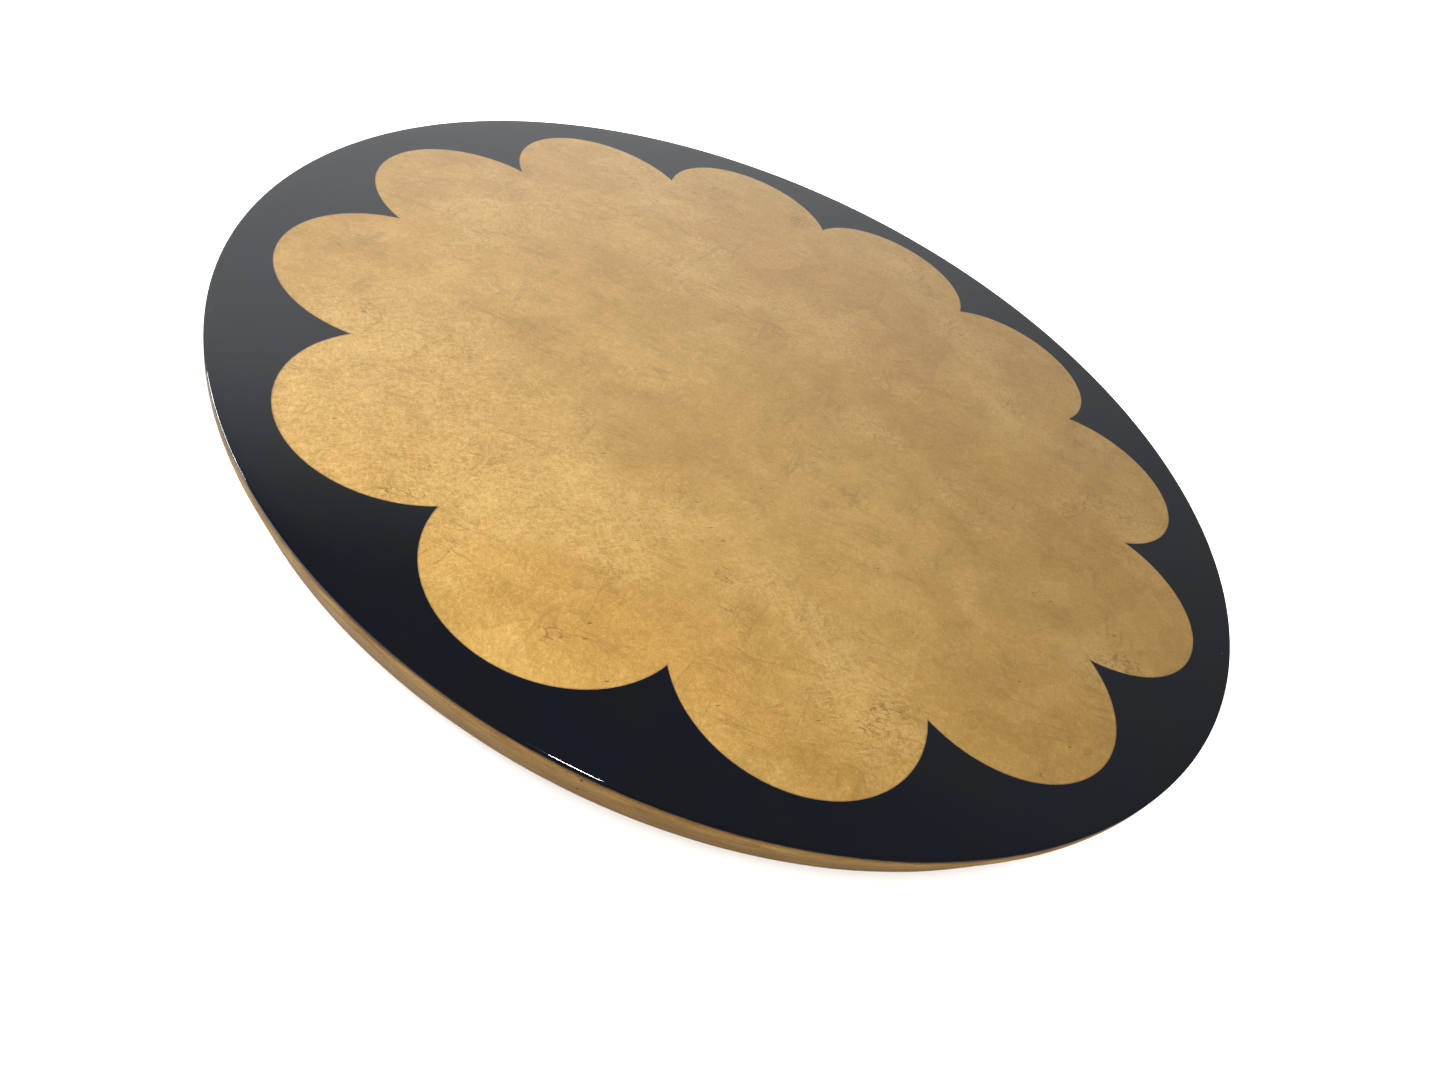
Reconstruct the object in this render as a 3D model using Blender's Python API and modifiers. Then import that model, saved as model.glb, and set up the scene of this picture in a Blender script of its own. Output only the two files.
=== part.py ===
"""A round, rimless table top: gold leaf medallion let into black gloss lacquer, over a gilded edge.

The top is a turned panel of fibreboard, thickened under its edge by a ring of sector-shaped
segments. Black lacquer covers the panel, and a twelve-lobed medallion of gold leaf lies flush in
it. The side edge falls straight and then tapers inwards, and is gilded all round. Underneath, a
backing sheet closes the recess, where eight threaded inserts take the base's mounting plate.

Units are metres and +Z is up. The origin is at the centre of the underside. A lobe of the
medallion points along +X and another along +Y.
"""

import math

import bmesh
import bpy
from mathutils import Matrix

# Driving dimensions.
TOP_RADIUS = 0.600
TOP_DEPTH = 0.055
LAND_DEPTH = 0.013  # how far the side edge falls straight before it tapers
TAPER_INSET = 0.0175  # how much smaller the underside's radius is

LACQUER = 0.0018
LACQUER_ARRIS = 0.0009
LEAF_LOBES = 12
LOBE_CENTRE_RADIUS = 0.4327
LOBE_RADIUS = 0.1231

PANEL = 0.025
RIM_INNER_RADIUS = 0.480
RIM_SEGMENTS = 12
GILDING = 0.0008
GILDING_LOWEST = 0.0010
BACKING = 0.0015

INSERTS = 8
INSERT_CIRCLE_RADIUS = 0.200
INSERT_BODY_RADIUS = 0.0060
INSERT_FLANGE_RADIUS = 0.0090
INSERT_FLANGE = 0.0015
INSERT_LENGTH = 0.015
INSERT_BORE_RADIUS = 0.0034  # before its M8 thread
INSERT_HOLE_EXTRA_DEPTH = 0.0003

GAP = 0.0003  # left between pieces that are glued or pressed together

# How finely round shapes are divided.
DISC_STEPS = 144
LOBE_STEPS = 10
ARRIS_STEPS = 3
INSERT_STEPS = 16

# Heights worked out from the dimensions above.
LACQUER_UNDERSIDE = TOP_DEPTH - LACQUER
PANEL_TOP = LACQUER_UNDERSIDE - GAP
PANEL_UNDERSIDE = PANEL_TOP - PANEL
RIM_TOP = PANEL_UNDERSIDE - GAP
BACKING_TOP = PANEL_UNDERSIDE - GAP
BACKING_UNDERSIDE = BACKING_TOP - BACKING
INSERT_SHOULDER = BACKING_UNDERSIDE - GAP
LAND_FOOT = TOP_DEPTH - LAND_DEPTH


def clear_scene():
    for obj in list(bpy.data.objects):
        bpy.data.objects.remove(obj, do_unlink=True)


def new_collection(name):
    collection = bpy.data.collections.new(name)
    bpy.context.scene.collection.children.link(collection)
    return collection


def new_material(name, colour, roughness, metallic=0.0, coat=0.0):
    material = bpy.data.materials.new(name)
    material.use_nodes = True
    shader = material.node_tree.nodes["Principled BSDF"]
    shader.inputs["Base Color"].default_value = (*colour, 1.0)
    shader.inputs["Roughness"].default_value = roughness
    shader.inputs["Metallic"].default_value = metallic
    shader.inputs["Coat Weight"].default_value = coat
    material.diffuse_color = (*colour, 1.0)
    return material


def add_object(name, mesh, material, collection):
    if material is not None:
        mesh.materials.clear()
        mesh.materials.append(material)
    obj = bpy.data.objects.new(name, mesh)
    collection.objects.link(obj)
    return obj


def edge_radius(height):
    """The side edge's outer radius at a height above the underside."""
    return TOP_RADIUS - TAPER_INSET * max(0.0, LAND_FOOT - height) / LAND_FOOT


def side_profile(high, low, inside=0.0):
    """Points (radius, height) down the side edge from high to low, moved in by `inside`."""
    heights = [high] + [LAND_FOOT] * (low < LAND_FOOT < high) + [low]
    return [(edge_radius(height) - inside, height) for height in heights]


def profile_mesh(name, points, closed):
    """A wire mesh of (radius, height) points in the XZ plane, ready for a Screw modifier."""
    mesh = bpy.data.meshes.new(name)
    count = len(points)
    edges = [(i, (i + 1) % count) for i in range(count if closed else count - 1)]
    mesh.from_pydata([(radius, 0.0, height) for radius, height in points], edges, [])
    return mesh


def turned(name, points, material, collection, steps=DISC_STEPS, closed=False):
    """A shape turned about +Z. An open profile starts and ends on the axis."""
    obj = add_object(name, profile_mesh(name, points, closed), material, collection)
    screw = obj.modifiers.new("Turn", "SCREW")
    screw.axis = "Z"
    screw.angle = math.tau
    screw.steps = steps
    screw.render_steps = steps
    screw.use_merge_vertices = True
    screw.merge_threshold = 0.00001
    screw.use_smooth_shade = True
    return obj


def cut(obj, cutter):
    """Cuts a mesh object, or every object of a collection, out of obj."""
    boolean = obj.modifiers.new("Cut", "BOOLEAN")
    boolean.operation = "DIFFERENCE"
    boolean.solver = "EXACT"
    if isinstance(cutter, bpy.types.Collection):
        boolean.operand_type = "COLLECTION"
        boolean.collection = cutter
    else:
        boolean.object = cutter


def hide_as_cutter(obj):
    obj.hide_render = True
    obj.display_type = "WIRE"


def lobed_outline(outset=0.0):
    """Points round the medallion: LEAF_LOBES arcs that meet in cusps, grown by `outset`."""
    radius = LOBE_RADIUS + outset
    half_step = math.pi / LEAF_LOBES
    # From a lobe's tip to its cusp, turning about the lobe's own centre.
    half_arc = half_step + math.asin(LOBE_CENTRE_RADIUS * math.sin(half_step) / radius)
    points = []
    for lobe in range(LEAF_LOBES):
        heading = math.tau * lobe / LEAF_LOBES
        centre_x = LOBE_CENTRE_RADIUS * math.cos(heading)
        centre_y = LOBE_CENTRE_RADIUS * math.sin(heading)
        for step in range(LOBE_STEPS):
            turn = heading + half_arc * (2 * step / LOBE_STEPS - 1)
            points.append((centre_x + radius * math.cos(turn), centre_y + radius * math.sin(turn)))
    return points


def flat_plate(name, outline, low, high, material, collection):
    """A plate of a flat outline between two heights, made from a filled 2D curve."""
    curve = bpy.data.curves.new(name, "CURVE")
    curve.dimensions = "2D"
    curve.fill_mode = "BOTH"
    curve.extrude = (high - low) / 2
    spline = curve.splines.new("POLY")
    spline.points.add(len(outline) - 1)
    for point, (x, y) in zip(spline.points, outline):
        point.co = (x, y, 0.0, 1.0)
    spline.use_cyclic_u = True
    obj = add_object(name, curve, material, collection)
    obj.location.z = (high + low) / 2
    return obj


def as_mesh(obj, collection):
    """Replaces a curve object by a closed mesh object of the same name and place."""
    bpy.context.view_layer.update()
    graph = bpy.context.evaluated_depsgraph_get()
    mesh = bpy.data.meshes.new_from_object(obj.evaluated_get(graph))
    work = bmesh.new()
    work.from_mesh(mesh)
    bmesh.ops.remove_doubles(work, verts=work.verts, dist=0.000001)
    bmesh.ops.recalc_face_normals(work, faces=work.faces)
    work.to_mesh(mesh)
    work.free()
    name, place = obj.name, obj.matrix_world.copy()
    bpy.data.objects.remove(obj, do_unlink=True)
    made = add_object(name, mesh, None, collection)
    made.matrix_world = place
    return made


def make_lacquer_ground(material, parts, cutters):
    """The black field: a thin plate with a rounded arris and the medallion's opening."""
    points = [(0.0, TOP_DEPTH)]
    for step in range(ARRIS_STEPS + 1):
        turn = math.pi / 2 * (1 - step / ARRIS_STEPS)
        radius = TOP_RADIUS - LACQUER_ARRIS + LACQUER_ARRIS * math.cos(turn)
        height = TOP_DEPTH - LACQUER_ARRIS + LACQUER_ARRIS * math.sin(turn)
        points.append((radius, height))
    points += [(TOP_RADIUS, LACQUER_UNDERSIDE), (0.0, LACQUER_UNDERSIDE)]
    ground = turned("lacquer_ground", points, material, parts)
    beyond = LACQUER
    opening = flat_plate(
        "medallion_opening",
        lobed_outline(outset=GAP),
        LACQUER_UNDERSIDE - beyond,
        TOP_DEPTH + beyond,
        None,
        cutters,
    )
    opening = as_mesh(opening, cutters)
    hide_as_cutter(opening)
    cut(ground, opening)


def make_leaf_medallion(material, parts):
    flat_plate("leaf_medallion", lobed_outline(), LACQUER_UNDERSIDE, TOP_DEPTH, material, parts)


def insert_places():
    """Positions (x, y) of the threaded inserts, half a step off the X axis."""
    turns = [math.tau * (i + 0.5) / INSERTS for i in range(INSERTS)]
    return [(INSERT_CIRCLE_RADIUS * math.cos(t), INSERT_CIRCLE_RADIUS * math.sin(t)) for t in turns]


def make_insert_holes():
    """The cutters of the blind holes that the inserts sit in."""
    holes = new_collection("insert_holes")
    low = BACKING_UNDERSIDE - BACKING
    high = INSERT_SHOULDER + INSERT_LENGTH + INSERT_HOLE_EXTRA_DEPTH
    for index, (x, y) in enumerate(insert_places(), start=1):
        work = bmesh.new()
        bmesh.ops.create_cone(
            work,
            cap_ends=True,
            segments=INSERT_STEPS,
            radius1=INSERT_BODY_RADIUS + GAP,
            radius2=INSERT_BODY_RADIUS + GAP,
            depth=high - low,
            matrix=Matrix.Translation((x, y, (high + low) / 2)),
        )
        mesh = bpy.data.meshes.new(f"insert_hole_{index}")
        work.to_mesh(mesh)
        work.free()
        hide_as_cutter(add_object(mesh.name, mesh, None, holes))
    return holes


def make_core_panel(material, parts, holes):
    side = side_profile(PANEL_TOP, PANEL_UNDERSIDE, inside=GILDING + GAP)
    points = [(0.0, PANEL_TOP)] + side + [(0.0, PANEL_UNDERSIDE)]
    cut(turned("core_panel", points, material, parts), holes)


def make_backing_sheet(material, parts, holes):
    radius = RIM_INNER_RADIUS - GAP
    points = [(0.0, BACKING_TOP), (radius, BACKING_TOP)]
    points += [(radius, BACKING_UNDERSIDE), (0.0, BACKING_UNDERSIDE)]
    cut(turned("backing_sheet", points, material, parts), holes)


def rim_segment_mesh():
    """One sector of the ring under the panel's edge, from just after +X towards +Y."""
    gap_turn = GAP / RIM_INNER_RADIUS
    side = side_profile(RIM_TOP, 0.0, inside=GILDING + GAP)
    section = side + [(RIM_INNER_RADIUS, 0.0), (RIM_INNER_RADIUS, RIM_TOP)]
    work = bmesh.new()
    corners = [work.verts.new((radius, 0.0, height)) for radius, height in section]
    face = work.faces.new(corners)
    bmesh.ops.rotate(work, verts=corners, matrix=Matrix.Rotation(gap_turn / 2, 3, "Z"))
    bmesh.ops.spin(
        work,
        geom=[face, *face.edges, *face.verts],
        axis=(0.0, 0.0, 1.0),
        cent=(0.0, 0.0, 0.0),
        angle=math.tau / RIM_SEGMENTS - gap_turn,
        steps=DISC_STEPS // RIM_SEGMENTS,
    )
    bmesh.ops.recalc_face_normals(work, faces=work.faces)
    mesh = bpy.data.meshes.new("rim_segment")
    work.to_mesh(mesh)
    work.free()
    mesh.shade_smooth()
    mesh.set_sharp_from_angle(angle=math.radians(15))
    return mesh


def make_rim_segments(material, parts):
    mesh = rim_segment_mesh()
    for index in range(RIM_SEGMENTS):
        segment = add_object(f"rim_segment_{index + 1}", mesh, material, parts)
        segment.rotation_euler.z = math.tau * index / RIM_SEGMENTS


def make_rim_gilding(material, parts):
    """The gilded coat on the side edge, from under the lacquer to just above the underside."""
    outer = side_profile(PANEL_TOP, GILDING_LOWEST)
    inner = side_profile(PANEL_TOP, GILDING_LOWEST, inside=GILDING)
    turned("rim_gilding", outer + inner[::-1], material, parts, closed=True)


def make_inserts(material, parts):
    top = INSERT_SHOULDER + INSERT_LENGTH
    foot = INSERT_SHOULDER - INSERT_FLANGE
    points = [
        (INSERT_BORE_RADIUS, top),
        (INSERT_BODY_RADIUS, top),
        (INSERT_BODY_RADIUS, INSERT_SHOULDER),
        (INSERT_FLANGE_RADIUS, INSERT_SHOULDER),
        (INSERT_FLANGE_RADIUS, foot),
        (INSERT_BORE_RADIUS, foot),
    ]
    for index, (x, y) in enumerate(insert_places(), start=1):
        insert = turned(f"base_insert_{index}", points, material, parts, INSERT_STEPS, closed=True)
        insert.location = (x, y, 0.0)


def main():
    clear_scene()
    parts = new_collection("lacquered_table_top")
    cutters = new_collection("cutters")
    lacquer = new_material("black_lacquer", (0.010, 0.012, 0.016), 0.08, coat=1.0)
    leaf = new_material("gold_leaf", (0.78, 0.50, 0.20), 0.30, metallic=1.0, coat=1.0)
    gilding = new_material("bronze_gilding", (0.52, 0.34, 0.14), 0.38, metallic=1.0)
    board = new_material("fibreboard", (0.36, 0.24, 0.14), 0.85)
    sealer = new_material("black_sealer", (0.03, 0.028, 0.026), 0.6)
    brass = new_material("brass", (0.72, 0.52, 0.22), 0.3, metallic=1.0)

    holes = make_insert_holes()
    make_lacquer_ground(lacquer, parts, cutters)
    make_leaf_medallion(leaf, parts)
    make_core_panel(board, parts, holes)
    make_rim_segments(board, parts)
    make_rim_gilding(gilding, parts)
    make_backing_sheet(sealer, parts, holes)
    make_inserts(brass, parts)


main()
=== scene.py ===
"""The looks of a round lacquered and gilded table top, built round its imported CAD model.

The medallion of gold leaf and the black lacquer round it meet edge to edge under one flat gloss
surface. The lacquer turns over the arris and ends in a ragged line, and below it the side edge is
gilded. Lengths are in metres, in the frame of the CAD model.
"""

import math

import bmesh
import bpy
from mathutils import Euler, Matrix, Vector, noise


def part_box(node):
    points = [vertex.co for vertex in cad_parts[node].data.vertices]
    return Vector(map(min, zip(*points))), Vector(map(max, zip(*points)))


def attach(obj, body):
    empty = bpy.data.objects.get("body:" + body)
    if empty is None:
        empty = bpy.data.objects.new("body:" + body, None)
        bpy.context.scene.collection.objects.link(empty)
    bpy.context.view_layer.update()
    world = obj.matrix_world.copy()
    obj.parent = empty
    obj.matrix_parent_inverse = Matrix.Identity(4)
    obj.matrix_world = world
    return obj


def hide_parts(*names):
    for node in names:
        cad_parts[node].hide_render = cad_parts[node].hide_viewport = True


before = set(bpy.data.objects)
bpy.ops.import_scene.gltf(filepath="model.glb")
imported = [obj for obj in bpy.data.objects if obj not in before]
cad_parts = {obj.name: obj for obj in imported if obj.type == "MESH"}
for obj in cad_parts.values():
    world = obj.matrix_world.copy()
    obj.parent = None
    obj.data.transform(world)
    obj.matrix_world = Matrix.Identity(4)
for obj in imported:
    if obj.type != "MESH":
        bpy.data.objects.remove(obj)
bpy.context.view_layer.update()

# Sizes that the CAD model gives.
ground_low, ground_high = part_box("lacquer_ground")
leaf_low, leaf_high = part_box("leaf_medallion")
TOP = ground_high.z
TOP_RADIUS = ground_high.x
LACQUER = ground_high.z - ground_low.z
LEAF_TIP_RADIUS = leaf_high.x

# Sizes that the model's design repeats.
LEAF_LOBES = 12
LOBE_RADIUS = 0.1231
LOBE_CENTRE_RADIUS = LEAF_TIP_RADIUS - LOBE_RADIUS
LAND_FOOT = TOP - 0.013
TAPER_INSET = 0.0175
GILDED_RADIUS = TOP_RADIUS - 0.0003

# How far down the side edge the lacquer reaches, and the width and depth of the arris it turns over.
SKIRT = 0.0032
ARRIS_WIDTH = 0.0021
ARRIS_DEPTH = 0.0012

# The fineness of round shapes.
LOBE_STEPS = 150
EDGE_STEPS = 900
ARRIS_STEPS = 14

# The camera: where it stands, what its axis meets, and its roll.
CAMERA_PLACE = (0.2112, -1.0194, 0.6897)
CAMERA_AIM = (0.0573, -0.2904, TOP)
CAMERA_ROLL = 25.73
CAMERA_LENS = 25.46
CAMERA_SHIFT = (0.0195, -0.0094)

# Two pin holes in the gilded edge: how far below the top, and where round it.
PIN_HOLES = ((0.0085, 282.1), (0.0310, 282.1))
PIN_RADIUS = 0.0011

# The step and the turn of the leaf squares, and the centre of a painted sparkle on the left lobes, where the
# window light falls.
LEAF_PITCH = 0.134
LEAF_TURN = 58.6
LEFT_SPARKLE_CENTRE = (-0.27, -0.42, TOP)


class Graph:
    """A material and short ways to add nodes to it."""

    def __init__(self, name):
        self.material = bpy.data.materials.new(name)
        self.material.use_nodes = True
        self.tree = self.material.node_tree
        self.shader = self.tree.nodes["Principled BSDF"]

    def add(self, kind, **settings):
        made = self.tree.nodes.new("ShaderNode" + kind)
        for key, value in settings.items():
            setattr(made, key, value)
        return made

    def feed(self, socket, value):
        """Links a socket to another, or sets its value."""
        if isinstance(value, bpy.types.NodeSocket):
            self.tree.links.new(value, socket)
        else:
            socket.default_value = value

    def math(self, operation, first, second=0.0):
        made = self.add("Math", operation=operation)
        self.feed(made.inputs[0], first)
        self.feed(made.inputs[1], second)
        return made.outputs[0]

    def place(self, scale=(1, 1, 1), turn=0.0, shift=(0, 0, 0), source=None):
        """Object coordinates, turned about Z in degrees, then scaled and shifted."""
        if source is None:
            source = self.add("TexCoord").outputs["Object"]
        turned = self.add("Mapping", vector_type="POINT")
        turned.inputs["Rotation"].default_value = (0, 0, math.radians(-turn))
        self.feed(turned.inputs["Vector"], source)
        scaled = self.add("Mapping", vector_type="POINT")
        scaled.inputs["Scale"].default_value = scale
        scaled.inputs["Location"].default_value = shift
        self.feed(scaled.inputs["Vector"], turned.outputs[0])
        return scaled.outputs[0]

    def noise(self, vector, scale=1.0, detail=2.0, roughness=0.5, colour=False, swirl=0.0):
        """Soft noise, 0 to 1; `swirl` curls it up."""
        made = self.add("TexNoise", noise_dimensions="3D")
        self.feed(made.inputs["Vector"], vector)
        made.inputs["Scale"].default_value = scale
        made.inputs["Detail"].default_value = detail
        made.inputs["Roughness"].default_value = roughness
        made.inputs["Distortion"].default_value = swirl
        return made.outputs["Color" if colour else "Fac"]

    def wander(self, vector, reach, scale):
        """The coordinates moved about by up to `reach` by a slow noise."""
        slow = self.noise(vector, scale, detail=2.0, colour=True)
        centred = self.add("VectorMath", operation="SUBTRACT")
        self.feed(centred.inputs[0], slow)
        centred.inputs[1].default_value = (0.5, 0.5, 0.5)
        moved = self.add("VectorMath", operation="MULTIPLY_ADD")
        self.feed(moved.inputs[0], centred.outputs[0])
        moved.inputs[1].default_value = (2 * reach, 2 * reach, 2 * reach)
        self.feed(moved.inputs[2], vector)
        return moved.outputs[0]

    def fit(self, value, low, high, to_low=0.0, to_high=1.0, smooth=True):
        made = self.add("MapRange", interpolation_type="SMOOTHSTEP" if smooth else "LINEAR")
        self.feed(made.inputs["Value"], value)
        made.inputs["From Min"].default_value = low
        made.inputs["From Max"].default_value = high
        made.inputs["To Min"].default_value = to_low
        made.inputs["To Max"].default_value = to_high
        return made.outputs["Result"]

    def mix(self, share, first, second, blend="MIX"):
        made = self.add("Mix", data_type="RGBA", blend_type=blend)
        self.feed(made.inputs[0], share)
        for socket, value in ((made.inputs[6], first), (made.inputs[7], second)):
            self.feed(socket, value if isinstance(value, bpy.types.NodeSocket) else (*value, 1.0))
        return made.outputs[2]

    def ramp(self, value, stops):
        made = self.add("ValToRGB")
        self.feed(made.inputs[0], value)
        elements = made.color_ramp.elements
        while len(elements) < len(stops):
            elements.new(0.5)
        for element, (position, colour) in zip(elements, stops):
            element.position = position
            element.color = (*colour, 1.0)
        return made.outputs[0]

    def bump(self, height, distance, strength=1.0):
        made = self.add("Bump")
        made.inputs["Strength"].default_value = strength
        made.inputs["Distance"].default_value = distance
        self.feed(made.inputs["Height"], height)
        return made.outputs[0]

    def split(self, colour):
        made = self.add("SeparateColor")
        self.feed(made.inputs[0], colour)
        return made.outputs

    def blend(self, share, first, second):
        """A number between two others."""
        made = self.add("Mix", data_type="FLOAT")
        for index, value in ((0, share), (2, first), (3, second)):
            self.feed(made.inputs[index], value)
        return made.outputs[0]

    def shade(self, tone, change, tint):
        """A colour made lighter by a small number, or darker where that is negative.

        `tint` weighs the change in red, green and blue.
        """
        factor = self.add("CombineColor")
        for socket, weight in zip(factor.inputs[:3], tint):
            self.feed(socket, self.math("ADD", self.math("MULTIPLY", change, weight), 1.0))
        return self.mix(1.0, tone, factor.outputs[0], "MULTIPLY")

    def line(self, value, centre, width):
        """1 where a value crosses `centre`, fading to 0 at `width` away: thin lines, out of a noise."""
        off = self.math("ABSOLUTE", self.math("SUBTRACT", value, centre))
        return self.fit(off, 0.0, width, 1.0, 0.0)

    def patches(self, scale, low, high, shift, detail=3.0):
        """A mask of soft-edged patches about 1 / `scale` across."""
        cloud = self.noise(self.place(shift=(shift, shift, 0.0)), scale, detail=detail)
        return self.fit(cloud, low, high)

    def set(self, **values):
        """Sets the shader's own sockets, named with _ for a space."""
        for key, value in values.items():
            self.feed(self.shader.inputs[key.replace("_", " ")], value)


def strokes(graph, turn, length, width, source, shift=0.0, detail=2.0):
    """Brushed marks of about `length` by `width` metres."""
    scale = (1 / length, 1 / width, 1.0)
    vector = graph.place(scale, turn, shift=(shift, shift, shift), source=source)
    return graph.noise(vector, detail=detail, roughness=0.55)


def outline_distance(graph):
    """How far a point lies inside the medallion's lobed outline, in metres."""
    where = graph.add("SeparateXYZ")
    graph.feed(where.inputs[0], graph.place())
    x, y = where.outputs[0], where.outputs[1]

    def length(first, second):
        squares = (graph.math("MULTIPLY", first, first), graph.math("MULTIPLY", second, second))
        return graph.math("SQRT", graph.math("ADD", *squares))

    radius = length(x, y)
    step = math.tau / LEAF_LOBES
    heading = graph.math("WRAP", graph.math("ARCTAN2", y, x), step / 2)
    heading.node.inputs[2].default_value = -step / 2
    outward = graph.math("MULTIPLY", radius, graph.math("COSINE", heading))
    along = graph.math("MAXIMUM", graph.math("SUBTRACT", outward, LOBE_CENTRE_RADIUS), 0.0)
    aside = graph.math("MULTIPLY", radius, graph.math("SINE", heading))
    return graph.math("SUBTRACT", LOBE_RADIUS, length(along, aside))


def gold_leaf():
    """Squares of metal leaf, brushed out and faintly torn, under clear gloss lacquer, with painted glints on
    crinkles and a painted sparkle on the left lobes.
    """
    g = Graph("gold_leaf")
    flat = g.place()
    loose = g.wander(flat, reach=0.005, scale=16.0)

    # Slow changes of tone, from a redder and browner gold to a pale one.
    cloud = g.noise(g.place(shift=(3, 1, 0)), scale=5.0, detail=5.0, roughness=0.55)
    browner, middle, paler = (0.412, 0.232, 0.055), (0.436, 0.256, 0.064), (0.458, 0.278, 0.074)
    tone = g.ramp(cloud, [(0.30, browner), (0.50, middle), (0.72, paler)])
    blush = g.patches(9.0, 0.55, 0.75, 7.0, detail=5.0)
    tone = g.mix(g.math("MULTIPLY", blush, 0.28), tone, (0.400, 0.200, 0.052))
    olive = g.patches(13.0, 0.52, 0.72, 19.0, detail=5.0)
    tone = g.mix(g.math("MULTIPLY", olive, 0.25), tone, (0.430, 0.270, 0.058))
    blotch = g.noise(g.wander(flat, reach=0.015, scale=12.0), scale=26.0, detail=5.0, roughness=0.66)
    tone = g.shade(tone, g.fit(blotch, 0.28, 0.72, -0.13, 0.13, smooth=False), (1.0, 1.1, 1.5))

    # The squares of leaf: each a little lighter or darker, with an uneven lapped seam.
    squares = g.add("TexBrick", offset=0.42, offset_frequency=2, squash=1.0)
    g.feed(squares.inputs["Vector"], g.wander(g.place(turn=LEAF_TURN, source=flat), reach=0.0018, scale=50.0))
    squares.inputs["Color1"].default_value = (0.965, 0.960, 0.950, 1.0)
    squares.inputs["Color2"].default_value = (1.020, 1.016, 1.012, 1.0)
    squares.inputs["Mortar"].default_value = (0.994, 0.991, 0.988, 1.0)
    squares.inputs["Scale"].default_value = 1.0
    squares.inputs["Mortar Size"].default_value = 0.0008
    squares.inputs["Mortar Smooth"].default_value = 0.7
    squares.inputs["Brick Width"].default_value = LEAF_PITCH
    squares.inputs["Row Height"].default_value = LEAF_PITCH
    tone = g.mix(1.0, tone, squares.outputs["Color"], "MULTIPLY")
    seam = g.math("MULTIPLY", squares.outputs["Fac"], g.patches(22.0, 0.42, 0.58, 11.0))
    tone = g.mix(g.math("MULTIPLY", seam, 0.50), tone, (0.33, 0.17, 0.045))

    # Scraps laid over faults: a few torn pieces, a shade paler, with crisp edges.
    scraps = g.add("TexVoronoi", feature="F1", voronoi_dimensions="2D")
    torn = g.wander(g.place(scale=(15, 26, 1), turn=63.0, source=flat), reach=0.10, scale=3.0)
    g.feed(scraps.inputs["Vector"], torn)
    scraps.inputs["Scale"].default_value = 1.0
    laid = g.split(scraps.outputs["Color"])
    scrap = g.fit(laid[0], 0.90, 0.905)
    tone = g.mix(g.math("MULTIPLY", scrap, 0.26), tone, (0.560, 0.350, 0.105))

    # A crumpled grain like tissue, with faint brushed marks that lie three ways, each in its own places.
    curled = g.wander(loose, reach=0.0015, scale=120.0)
    first = strokes(g, 28.0, 0.014, 0.0030, curled, detail=4.0)
    second = strokes(g, 121.0, 0.012, 0.0028, curled, shift=4.0, detail=4.0)
    third = strokes(g, 76.0, 0.022, 0.0026, curled, shift=9.0, detail=4.0)
    marks = g.blend(g.patches(8.0, 0.42, 0.58, 1.0), first, second)
    marks = g.blend(g.patches(11.0, 0.50, 0.62, 5.0), marks, third)
    tissue = g.noise(loose, scale=165.0, detail=5.0, roughness=0.80, swirl=1.2)
    creases = g.line(g.noise(loose, scale=215.0, detail=3.0, roughness=0.6, swirl=1.8), 0.5, 0.06)
    rubbed = g.math("ADD", g.math("MULTIPLY", marks, 0.28), g.math("MULTIPLY", tissue, 0.72))
    rubbed = g.math("ADD", rubbed, g.math("MULTIPLY", g.math("SUBTRACT", creases, 0.3), 0.13))
    # Painted sparkle: the grain is painted stronger in light and dark towards the left lobes, where the
    # window light falls, and its lighter side is tinted paler, like a glint.
    away = g.add("VectorMath", operation="DISTANCE")
    g.feed(away.inputs[0], g.wander(flat, reach=0.04, scale=6.0))
    away.inputs[1].default_value = LEFT_SPARKLE_CENTRE
    left_sparkle = g.fit(away.outputs["Value"], 0.34, 0.08, 1.0, 1.9)
    depth = g.math("MULTIPLY", g.math("SUBTRACT", rubbed, 0.5), g.math("MULTIPLY", left_sparkle, 1.3))
    tone = g.shade(tone, g.math("MAXIMUM", depth, -0.09), (1.0, 1.12, 1.8))

    # Crinkles where the leaf wrinkled as it was laid, painted as bright glints, most of all on the left
    # lobes, and long hairs drawn by the brush.
    crinkle_and_glint = g.line(strokes(g, 52.0, 0.020, 0.006, curled, shift=3.0, detail=4.0), 0.5, 0.050)
    crossing = g.line(strokes(g, 140.0, 0.024, 0.007, curled, shift=5.0, detail=4.0), 0.5, 0.045)
    crinkle_and_glint = g.math("MAXIMUM", crinkle_and_glint, crossing)
    crinkle_places = g.math("MAXIMUM", g.patches(7.0, 0.50, 0.66, 13.0), g.fit(left_sparkle, 1.2, 1.9))
    crinkle_and_glint = g.math("MULTIPLY", crinkle_and_glint, crinkle_places)
    hairs = g.line(strokes(g, 20.0, 0.150, 0.028, loose, shift=2.0), 0.5, 0.026)
    others = g.line(strokes(g, 96.0, 0.120, 0.024, loose, shift=6.0), 0.5, 0.026)
    hairs = g.math("MULTIPLY", hairs, g.patches(14.0, 0.51, 0.60, 17.0))
    others = g.math("MULTIPLY", others, g.patches(14.0, 0.51, 0.60, 23.0))
    hairs = g.math("MAXIMUM", hairs, others)
    # Painted highlight: the crinkles are painted in a pale gold, as glints.
    tone = g.mix(g.math("MULTIPLY", crinkle_and_glint, 0.46), tone, (0.64, 0.43, 0.16))
    tone = g.mix(g.math("MULTIPLY", hairs, 0.36), tone, (0.25, 0.13, 0.035))

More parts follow.
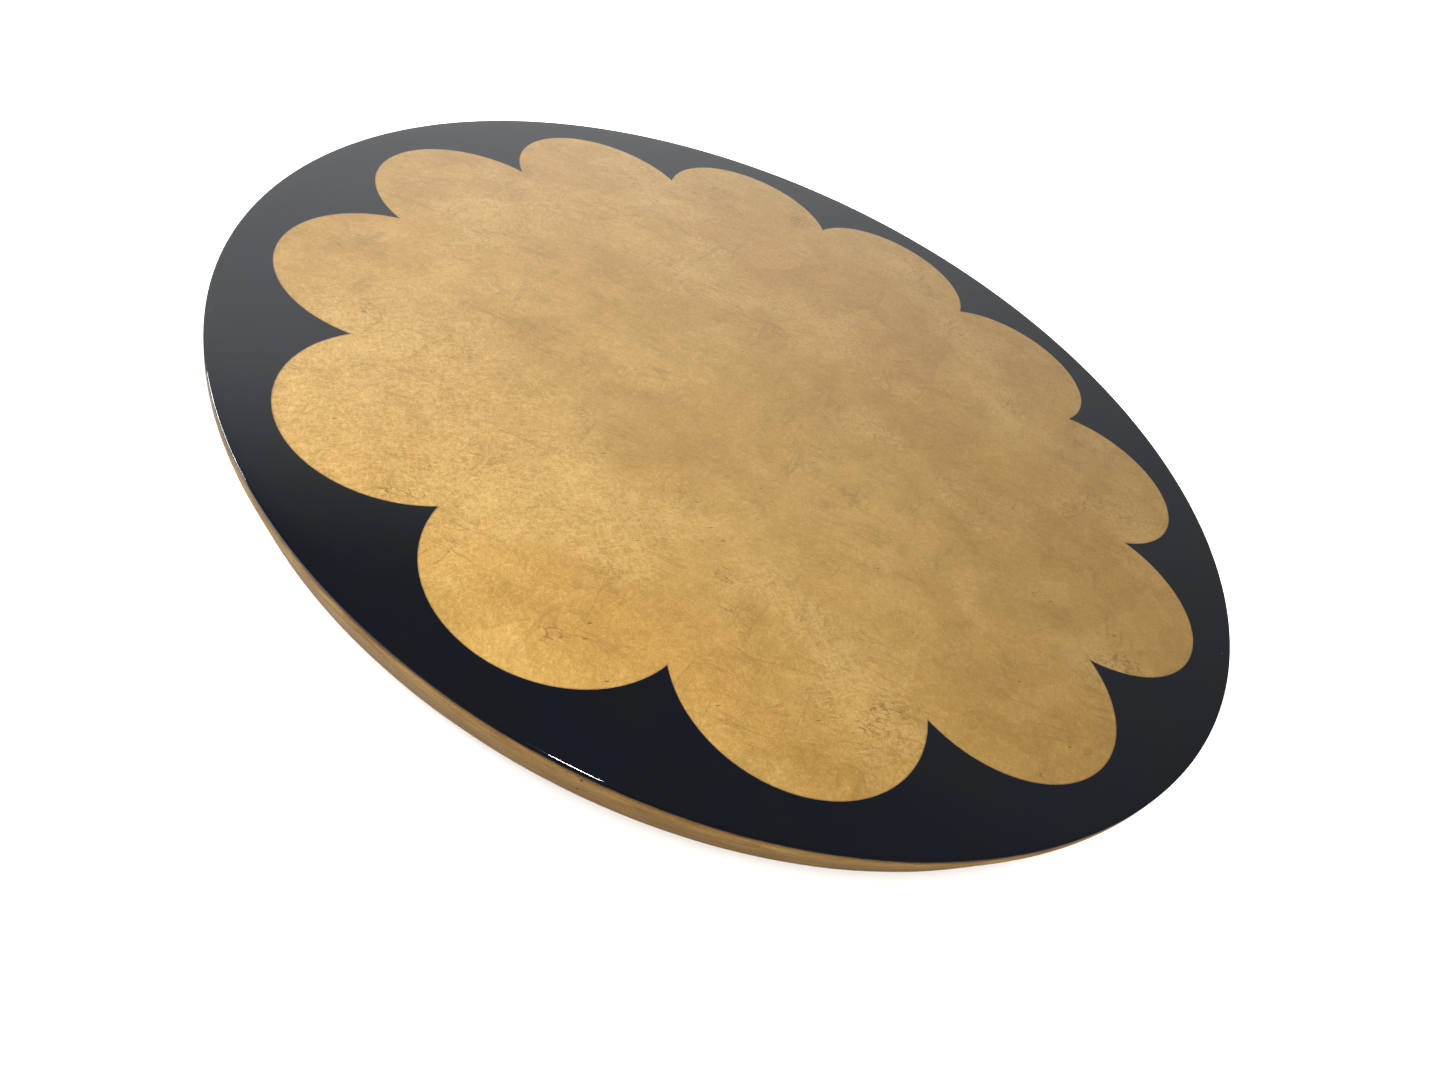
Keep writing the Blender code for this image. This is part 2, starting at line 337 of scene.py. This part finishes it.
    # Hairline tears near the outline, and small dark ticks where the ground shows.
    inside = outline_distance(g)
    crack_place = g.wander(g.place(scale=(60, 150, 1), turn=15.0), reach=0.5, scale=2.0)
    cells = g.add("TexVoronoi", feature="DISTANCE_TO_EDGE", voronoi_dimensions="2D")
    g.feed(cells.inputs["Vector"], crack_place)
    cells.inputs["Scale"].default_value = 1.0
    tears = g.fit(cells.outputs["Distance"], 0.02, 0.08, 1.0, 0.0)
    tears = g.math("MULTIPLY", tears, g.patches(11.0, 0.615, 0.665, 29.0))
    tears = g.math("MULTIPLY", tears, g.fit(inside, 0.10, 0.05))
    ticks = g.add("TexVoronoi", feature="F1", voronoi_dimensions="2D")
    g.feed(ticks.inputs["Vector"], g.wander(g.place(scale=(12, 42, 1), turn=52.0), reach=0.03, scale=9.0))
    ticks.inputs["Scale"].default_value = 1.0
    tick = g.fit(ticks.outputs["Distance"], 0.022, 0.034, 1.0, 0.0)
    tick = g.math("MULTIPLY", tick, g.fit(g.split(ticks.outputs["Color"])[0], 0.86, 0.865))
    damage = g.math("MAXIMUM", g.math("MULTIPLY", tears, 0.8), tick)
    tone = g.mix(g.math("MULTIPLY", damage, 0.75), tone, (0.12, 0.060, 0.020))

    # A thin brown line of size and bole where the leaf was cut back to its outline.
    wobble = g.math("MULTIPLY", g.noise(flat, scale=130.0, detail=3.0), 0.0012)
    border = g.fit(g.math("SUBTRACT", inside, wobble), 0.0009, -0.0003)
    tone = g.mix(g.math("MULTIPLY", border, 0.65), tone, (0.16, 0.085, 0.035))

    relief = g.math("ADD", rubbed, g.math("MULTIPLY", crinkle_and_glint, 0.10))
    relief = g.math("ADD", relief, g.math("MULTIPLY", scrap, 0.03))
    relief = g.math("SUBTRACT", relief, g.math("MULTIPLY", g.math("MAXIMUM", damage, hairs), 0.10))
    g.set(
        Base_Color=tone,
        Metallic=1.0,
        Roughness=g.fit(rubbed, 0.3, 0.7, 0.52, 0.42),
        Normal=g.bump(relief, 0.00032, 1.0),
        Coat_Weight=1.0,
        Coat_Roughness=0.03,
        Coat_IOR=1.5,
    )
    return g.material


def black_lacquer():
    """Polished blue-black lacquer with faint polishing lines and a little dust."""
    g = Graph("black_lacquer")
    flat = g.place()
    cloud = g.patches(17.0, 0.38, 0.62, 3.0)
    tone = g.mix(cloud, (0.0007, 0.0009, 0.0015), (0.0003, 0.0008, 0.0027))
    dust = g.add("TexVoronoi", feature="F1", voronoi_dimensions="3D")
    g.feed(dust.inputs["Vector"], g.place(scale=(34, 34, 34)))
    dust.inputs["Scale"].default_value = 1.0
    speck = g.fit(dust.outputs["Distance"], 0.008, 0.020, 1.0, 0.0)
    speck = g.math("MULTIPLY", speck, g.fit(g.split(dust.outputs["Color"])[1], 0.72, 0.73))
    tone = g.mix(g.math("MULTIPLY", speck, 0.5), tone, (0.22, 0.22, 0.22))
    haze = strokes(g, 25.0, 0.125, 0.002, g.wander(flat, 0.01, 4.0))
    g.set(
        Base_Color=tone,
        Roughness=g.fit(haze, 0.3, 0.8, 0.020, 0.070),
        IOR=1.5,
        Normal=g.bump(g.noise(flat, scale=55.0, detail=1.0), 0.00004, 0.5),
    )
    return g.material


def bronze_gilding():
    """Toned gilding on the side edge: fine streaks along it, darker just below the lacquer's edge."""
    g = Graph("bronze_gilding")
    source = g.add("TexCoord").outputs["Object"]
    height = g.add("SeparateXYZ")
    g.feed(height.inputs[0], source)
    streaks = g.noise(g.place(scale=(26, 26, 700)), detail=5.0, roughness=0.66)
    smears = g.noise(g.place(scale=(22, 22, 130), shift=(2, 0, 1)), detail=4.0, roughness=0.6)
    speckle = g.noise(source, scale=520.0, detail=3.0, roughness=0.7)
    darker, middle, lighter = (0.200, 0.103, 0.023), (0.262, 0.145, 0.037), (0.320, 0.192, 0.058)
    tone = g.ramp(smears, [(0.28, darker), (0.50, middle), (0.75, lighter)])
    shade = g.math("ADD", g.math("MULTIPLY", streaks, 0.6), g.math("MULTIPLY", speckle, 0.4))
    tone = g.shade(tone, g.fit(shade, 0.3, 0.7, -0.42, 0.34, smooth=False), (1.0, 1.05, 1.3))
    wobble = g.math("MULTIPLY", g.noise(g.place(scale=(30, 30, 60)), detail=4.0), 0.006)
    uneven_height = g.math("ADD", height.outputs[2], wobble)
    under_edge = g.fit(uneven_height, TOP - 0.0050, TOP - 0.0012, 0.0, 0.75)
    tone = g.mix(under_edge, tone, (0.085, 0.044, 0.016))
    near_foot = g.fit(uneven_height, 0.010, 0.002, 0.0, 0.35)
    tone = g.mix(near_foot, tone, (0.27, 0.155, 0.050))
    nick = g.fit(g.noise(g.place(scale=(60, 60, 420), shift=(0, 4, 4)), detail=3.0), 0.69, 0.74)
    tone = g.mix(g.math("MULTIPLY", nick, 0.7), tone, (0.05, 0.03, 0.015))
    g.set(
        Base_Color=tone,
        Metallic=0.5,
        Roughness=g.fit(shade, 0.3, 0.7, 0.60, 0.46),
        Specular_IOR_Level=0.4,
        Normal=g.bump(g.math("SUBTRACT", shade, nick), 0.0002, 0.5),
    )
    return g.material


def fibreboard():
    """Sealed fibreboard: felted brown fibres with paler and darker flecks."""
    g = Graph("fibreboard")
    source = g.add("TexCoord").outputs["Object"]
    felt = g.noise(g.wander(source, 0.002, 90.0), scale=330.0, detail=5.0, roughness=0.7)
    cloud = g.noise(source, scale=9.0, detail=3.0)
    darker, middle, lighter = (0.13, 0.075, 0.038), (0.25, 0.155, 0.085), (0.36, 0.24, 0.14)
    tone = g.ramp(felt, [(0.30, darker), (0.52, middle), (0.75, lighter)])
    tone = g.mix(g.fit(cloud, 0.35, 0.7, 0.0, 0.35), tone, (0.17, 0.10, 0.055))
    fleck = g.fit(g.noise(source, scale=210.0, detail=1.0), 0.70, 0.76)
    tone = g.mix(g.math("MULTIPLY", fleck, 0.6), tone, (0.50, 0.37, 0.24))
    g.set(Base_Color=tone, Roughness=g.fit(felt, 0.3, 0.7, 0.80, 0.62), Normal=g.bump(felt, 0.0003, 0.5))
    return g.material


def black_sealer():
    """A dark balancing sheet with a fine pressed grain and pale scuffs."""
    g = Graph("black_sealer")
    source = g.add("TexCoord").outputs["Object"]
    grain = g.noise(g.place(scale=(900, 260, 1), turn=12.0), detail=2.0)
    scuff = g.fit(strokes(g, 70.0, 0.160, 0.004, g.wander(source, 0.02, 5.0)), 0.60, 0.72)
    patch = g.fit(g.noise(source, scale=8.0, detail=3.0), 0.45, 0.65)
    tone = g.mix(grain, (0.018, 0.016, 0.015), (0.050, 0.046, 0.042))
    tone = g.mix(g.math("MULTIPLY", g.math("MULTIPLY", scuff, patch), 0.4), tone, (0.16, 0.15, 0.14))
    g.set(Base_Color=tone, Roughness=g.fit(grain, 0.3, 0.7, 0.66, 0.48), Normal=g.bump(grain, 0.0001, 0.4))
    return g.material


def turned_brass():
    """Machined brass with turning marks and a slight tarnish."""
    g = Graph("turned_brass")
    source = g.add("TexCoord").outputs["Object"]
    rings = g.noise(g.place(scale=(120, 120, 3200)), detail=2.0)
    tarnish = g.noise(source, scale=180.0, detail=4.0, roughness=0.65)
    dull, middle, bright = (0.42, 0.27, 0.09), (0.70, 0.50, 0.20), (0.82, 0.62, 0.30)
    tone = g.ramp(tarnish, [(0.30, dull), (0.55, middle), (0.80, bright)])
    g.set(
        Base_Color=tone,
        Metallic=1.0,
        Roughness=g.fit(tarnish, 0.3, 0.7, 0.42, 0.24),
        Normal=g.bump(rings, 0.0001, 0.4),
    )
    return g.material


def add_piece(name, work, material, slot, *replaced, sharp=30.0):
    """Makes a bmesh into a piece of the visual model."""
    mesh = bpy.data.meshes.new(name)
    bmesh.ops.recalc_face_normals(work, faces=work.faces)
    work.to_mesh(mesh)
    work.free()
    mesh.materials.append(material)
    mesh.shade_smooth()
    mesh.set_sharp_from_angle(angle=math.radians(sharp))
    piece = bpy.data.objects.new(name, mesh)
    bpy.context.scene.collection.objects.link(piece)
    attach(piece, "root")
    if replaced:
        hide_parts(*replaced)
    return piece


def lobed_outline():
    """Points round the medallion: LEAF_LOBES arcs that meet in cusps."""
    half_step = math.pi / LEAF_LOBES
    half_arc = half_step + math.asin(LOBE_CENTRE_RADIUS * math.sin(half_step) / LOBE_RADIUS)
    points = []
    for lobe in range(LEAF_LOBES):
        heading = math.tau * lobe / LEAF_LOBES
        centre = Vector((math.cos(heading), math.sin(heading))) * LOBE_CENTRE_RADIUS
        for step in range(LOBE_STEPS):
            turn = heading + half_arc * (2 * step / LOBE_STEPS - 1)
            points.append(centre + Vector((math.cos(turn), math.sin(turn))) * LOBE_RADIUS)
    return points


def ring_of(work, places):
    return [work.verts.new(place) for place in places]


def bridge(work, first, second):
    """Quads between two closed rings of as many points."""
    count = len(first)
    for i in range(count):
        j = (i + 1) % count
        work.faces.new((first[i], first[j], second[j], second[i]))


def make_leaf(material):
    work = bmesh.new()
    outline = lobed_outline()
    top = ring_of(work, [(x, y, TOP) for x, y in outline])
    foot = ring_of(work, [(x, y, TOP - LACQUER) for x, y in outline])
    bridge(work, top, foot)
    work.faces.new(top)
    work.faces.new(foot)
    return add_piece("leaf_field", work, material, "gold_leaf", "leaf_medallion")


def make_lacquer(material):
    """The black field, whose skirt over the arris ends in a hand-cut, slightly chipped line."""
    work = bmesh.new()
    outline = lobed_outline()
    headings = [math.atan2(y, x) for x, y in outline]

    def circle(radius, height):
        return [(radius * math.cos(t), radius * math.sin(t), height) for t in headings]

    rings = [ring_of(work, [(x, y, TOP) for x, y in outline])]
    for share in (0.35, 0.75):
        places = []
        for (x, y), (cx, cy, _) in zip(outline, circle(TOP_RADIUS - ARRIS_WIDTH, TOP)):
            places.append((x + (cx - x) * share, y + (cy - y) * share, TOP))
        rings.append(ring_of(work, places))
    for step in range(ARRIS_STEPS + 1):
        turn = math.pi / 2 * (1 - step / ARRIS_STEPS)
        radius = TOP_RADIUS - ARRIS_WIDTH + ARRIS_WIDTH * math.cos(turn)
        height = TOP - ARRIS_DEPTH + ARRIS_DEPTH * math.sin(turn)
        rings.append(ring_of(work, circle(radius, height)))
    hem = []
    for t in headings:
        place = Vector((math.cos(t), math.sin(t), 0.0))
        slow = noise.noise(place * 9.0)
        quick = noise.noise(place * 70.0 + Vector((3, 1, 0)))
        fine = noise.noise(place * 240.0)
        chip = max(0.0, noise.noise(place * 38.0 + Vector((0, 7, 2))) - 0.42)
        drop = SKIRT + 0.0005 * slow + 0.0004 * quick + 0.0003 * fine - 0.0030 * chip
        drop = max(ARRIS_DEPTH + 0.0002, drop)
        hem.append((TOP_RADIUS * place.x, TOP_RADIUS * place.y, TOP - drop))
    rings.append(ring_of(work, hem))
    inset = 0.0006
    rings.append(ring_of(work, [(x * (1 - inset), y * (1 - inset), z) for x, y, z in hem]))
    rings.append(ring_of(work, circle(TOP_RADIUS - 0.004, TOP - LACQUER)))
    rings.append(ring_of(work, [(x, y, TOP - LACQUER) for x, y in outline]))
    for first, second in zip(rings, rings[1:]):
        bridge(work, first, second)
    bridge(work, rings[-1], rings[0])
    return add_piece("lacquer_field", work, material, "black_lacquer", "lacquer_ground")


def edge_profile():
    """Points (radius, height) down the gilded side edge, softened at its two corners."""
    points = [(GILDED_RADIUS - 0.0004, TOP - 0.0011)]
    soft = 0.0035
    steps = 6
    foot_top = 0.0035
    foot_round = 0.0022
    foot_radius = GILDED_RADIUS - TAPER_INSET
    slope = TAPER_INSET / LAND_FOOT
    for step in range(steps + 1):
        share = step / steps
        height = LAND_FOOT + soft * (1 - 2 * share)
        points.append((GILDED_RADIUS - slope * soft * share * share, height))
    below = LAND_FOOT - soft
    for step in range(1, 5):
        height = below + (foot_top - below) * step / 4
        points.append((GILDED_RADIUS - slope * (LAND_FOOT - height), height))
    for turn in (25, 50, 75, 100):
        angle = math.radians(turn)
        radius = foot_radius - foot_round + foot_round * math.cos(angle) + 0.0006
        points.append((radius, 0.0028 - foot_round * math.sin(angle)))
    return points


def make_pin_hole_shade(material):
    """Two dark discs in the gilded edge, painted shade for the insides of two pin holes."""
    work = bmesh.new()
    for drop, heading in PIN_HOLES:
        turn = math.radians(heading)
        radius = GILDED_RADIUS - max(0.0, drop - (TOP - LAND_FOOT)) * TAPER_INSET / LAND_FOOT
        place = Vector((radius * math.cos(turn), radius * math.sin(turn), TOP - drop))
        outward = Vector((place.x, place.y, 0.0)).to_track_quat("Z", "Y").to_matrix().to_4x4()
        stand = Matrix.Translation(place) @ outward
        bmesh.ops.create_cone(
            work,
            cap_ends=True,
            segments=14,
            radius1=PIN_RADIUS,
            radius2=PIN_RADIUS - 0.0001,
            depth=0.0007,
            matrix=stand,
        )
    return add_piece("pin_hole_shade", work, material, "black_sealer")


def make_gilding(material):
    work = bmesh.new()
    outer = edge_profile()
    inner = [(radius - 0.0007, height) for radius, height in (outer[0], outer[5], outer[10])]
    inner.append((outer[-1][0] - 0.0012, outer[-1][1] + 0.0008))
    rings = []
    for index, (radius, height) in enumerate(outer + inner[::-1]):
        places = []
        for step in range(EDGE_STEPS):
            turn = math.tau * step / EDGE_STEPS
            place = Vector((math.cos(turn), math.sin(turn), height * 12))
            uneven = 0.00012 * noise.noise(place * 14.0) if index < len(outer) else 0.0
            reach = radius + uneven
            places.append((reach * math.cos(turn), reach * math.sin(turn), height))
        rings.append(ring_of(work, places))
    for first, second in zip(rings, rings[1:] + rings[:1]):
        bridge(work, first, second)
    return add_piece("gilded_edge", work, material, "bronze_gilding", "rim_gilding")


def dress_cad_nodes(board, sealer, brass):
    """The CAD pieces that stay as they are get their finished materials."""
    for name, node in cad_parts.items():
        if name.startswith(("rim_segment", "core_panel")):
            chosen = board
        elif name.startswith("base_insert"):
            chosen = brass
        elif name == "backing_sheet":
            chosen = sealer
        else:
            continue
        for slot in node.material_slots:
            slot.material = chosen


def make_camera():
    data = bpy.data.cameras.new("camera")
    data.lens = CAMERA_LENS
    data.sensor_width = 36.0
    data.shift_x, data.shift_y = CAMERA_SHIFT
    data.clip_start = 0.01
    camera = bpy.data.objects.new("camera", data)
    bpy.context.scene.collection.objects.link(camera)
    place = Vector(CAMERA_PLACE)
    level = (Vector(CAMERA_AIM) - place).to_track_quat("-Z", "Y").to_matrix()
    turned = level @ Matrix.Rotation(math.radians(CAMERA_ROLL), 3, "Z")
    camera.matrix_world = Matrix.Translation(place) @ turned.to_4x4()
    bpy.context.scene.camera = camera


def make_floor():
    data = bpy.data.meshes.new("studio_floor")
    work = bmesh.new()
    bmesh.ops.create_grid(work, x_segments=1, y_segments=1, size=60.0)
    work.to_mesh(data)
    work.free()
    floor = bpy.data.objects.new("studio_floor", data)
    bpy.context.scene.collection.objects.link(floor)
    g = Graph("studio_floor")
    g.set(Base_Color=(0.93, 0.93, 0.93, 1.0), Roughness=0.85, Specular_IOR_Level=0.2)
    data.materials.append(g.material)
    floor.location.z = -0.0004
    floor.visible_glossy = False


def add_sun(name, azimuth, elevation, spread, strength, colour):
    """A soft far light. Azimuth 0 stands behind -Y and turns towards +X."""
    data = bpy.data.lights.new(name, "SUN")
    data.energy = strength
    data.angle = math.radians(spread)
    data.color = colour
    light = bpy.data.objects.new(name, data)
    light.rotation_euler = Euler((math.radians(90 - elevation), 0.0, math.radians(azimuth)))
    bpy.context.scene.collection.objects.link(light)


def make_world():
    """A soft studio: reflections see a dim room with a bright side on the left, the rest sees even white."""
    world = bpy.data.worlds.new("studio")
    bpy.context.scene.world = world
    world.use_nodes = True
    tree = world.node_tree
    where = tree.nodes.new("ShaderNodeTexCoord").outputs["Generated"]
    split = tree.nodes.new("ShaderNodeSeparateXYZ")
    tree.links.new(where, split.inputs[0])
    height = split.outputs["Z"]

    def calculate(operation, first, second=0.0, clamp=False):
        made = tree.nodes.new("ShaderNodeMath")
        made.operation = operation
        made.use_clamp = clamp
        for socket, value in zip(made.inputs, (first, second)):
            if isinstance(value, bpy.types.NodeSocket):
                tree.links.new(value, socket)
            else:
                socket.default_value = value
        return made.outputs[0]

    def glow(azimuth, elevation, reach, level):
        """Light that fades out `reach` degrees from a direction. Azimuth 0 is +Y and turns towards +X."""
        turn, rise = math.radians(azimuth), math.radians(elevation)
        dot = tree.nodes.new("ShaderNodeVectorMath")
        dot.operation = "DOT_PRODUCT"
        level_part = math.cos(rise)
        towards = (math.sin(turn) * level_part, math.cos(turn) * level_part, math.sin(rise))
        dot.inputs[1].default_value = towards
        tree.links.new(where, dot.inputs[0])
        edge = math.cos(math.radians(reach))
        share = calculate("DIVIDE", calculate("SUBTRACT", dot.outputs["Value"], edge), 1 - edge, clamp=True)
        return calculate("MULTIPLY", calculate("POWER", share, 2.0), level)

    def between(low, high):
        """1 beyond elevation `high` and 0 before `low`, in degrees, whichever of them is the higher."""
        made = tree.nodes.new("ShaderNodeMapRange")
        made.interpolation_type = "SMOOTHSTEP"
        made.inputs["From Min"].default_value = math.sin(math.radians(low))
        made.inputs["From Max"].default_value = math.sin(math.radians(high))
        tree.links.new(height, made.inputs["Value"])
        return made.outputs["Result"]

    window_wall = calculate("MULTIPLY", glow(-55, 25, 72, 1.15), between(50, 36))
    window_wall = calculate("MULTIPLY", window_wall, between(2, 16))
    lit_ground = calculate("MULTIPLY", glow(-90, -35, 66, 1.05), between(-10, -28))
    room = calculate("ADD", calculate("MULTIPLY", between(4, 17), 0.20), 0.02)
    room = calculate("ADD", room, calculate("MULTIPLY", between(-20, -42), 0.16))
    level = calculate("ADD", room, calculate("ADD", window_wall, lit_ground))

    def background(colour, strength):
        made = tree.nodes.new("ShaderNodeBackground")
        made.inputs["Color"].default_value = (*colour, 1.0)
        if isinstance(strength, bpy.types.NodeSocket):
            tree.links.new(strength, made.inputs["Strength"])
        else:
            made.inputs["Strength"].default_value = strength
        return made.outputs[0]

    path = tree.nodes.new("ShaderNodeLightPath")
    choose = tree.nodes.new("ShaderNodeMixShader")
    tree.links.new(path.outputs["Is Glossy Ray"], choose.inputs[0])
    tree.links.new(background((1.0, 1.0, 1.0), 2.5), choose.inputs[1])
    tree.links.new(background((0.98, 0.99, 1.0), level), choose.inputs[2])
    tree.links.new(choose.outputs[0], tree.nodes["World Output"].inputs["Surface"])


def main():
    bpy.context.scene.view_settings.view_transform = "Standard"
    make_camera()
    make_world()
    make_floor()
    for pane, azimuth in enumerate((-97, -92, -87, -82, -77), start=1):
        add_sun(f"side_window_{pane}", azimuth, 30, 5, 0.45, (1.0, 0.995, 0.99))
    add_sun("back_window", 193, 72, 4.5, 1.5, (0.97, 1.0, 1.08))
    make_leaf(gold_leaf())
    make_lacquer(black_lacquer())
    make_gilding(bronze_gilding())
    sealer = black_sealer()
    # Painted shade: dark discs stand for the shadowed insides of the pin holes.
    make_pin_hole_shade(sealer)
    dress_cad_nodes(fibreboard(), sealer, turned_brass())


main()
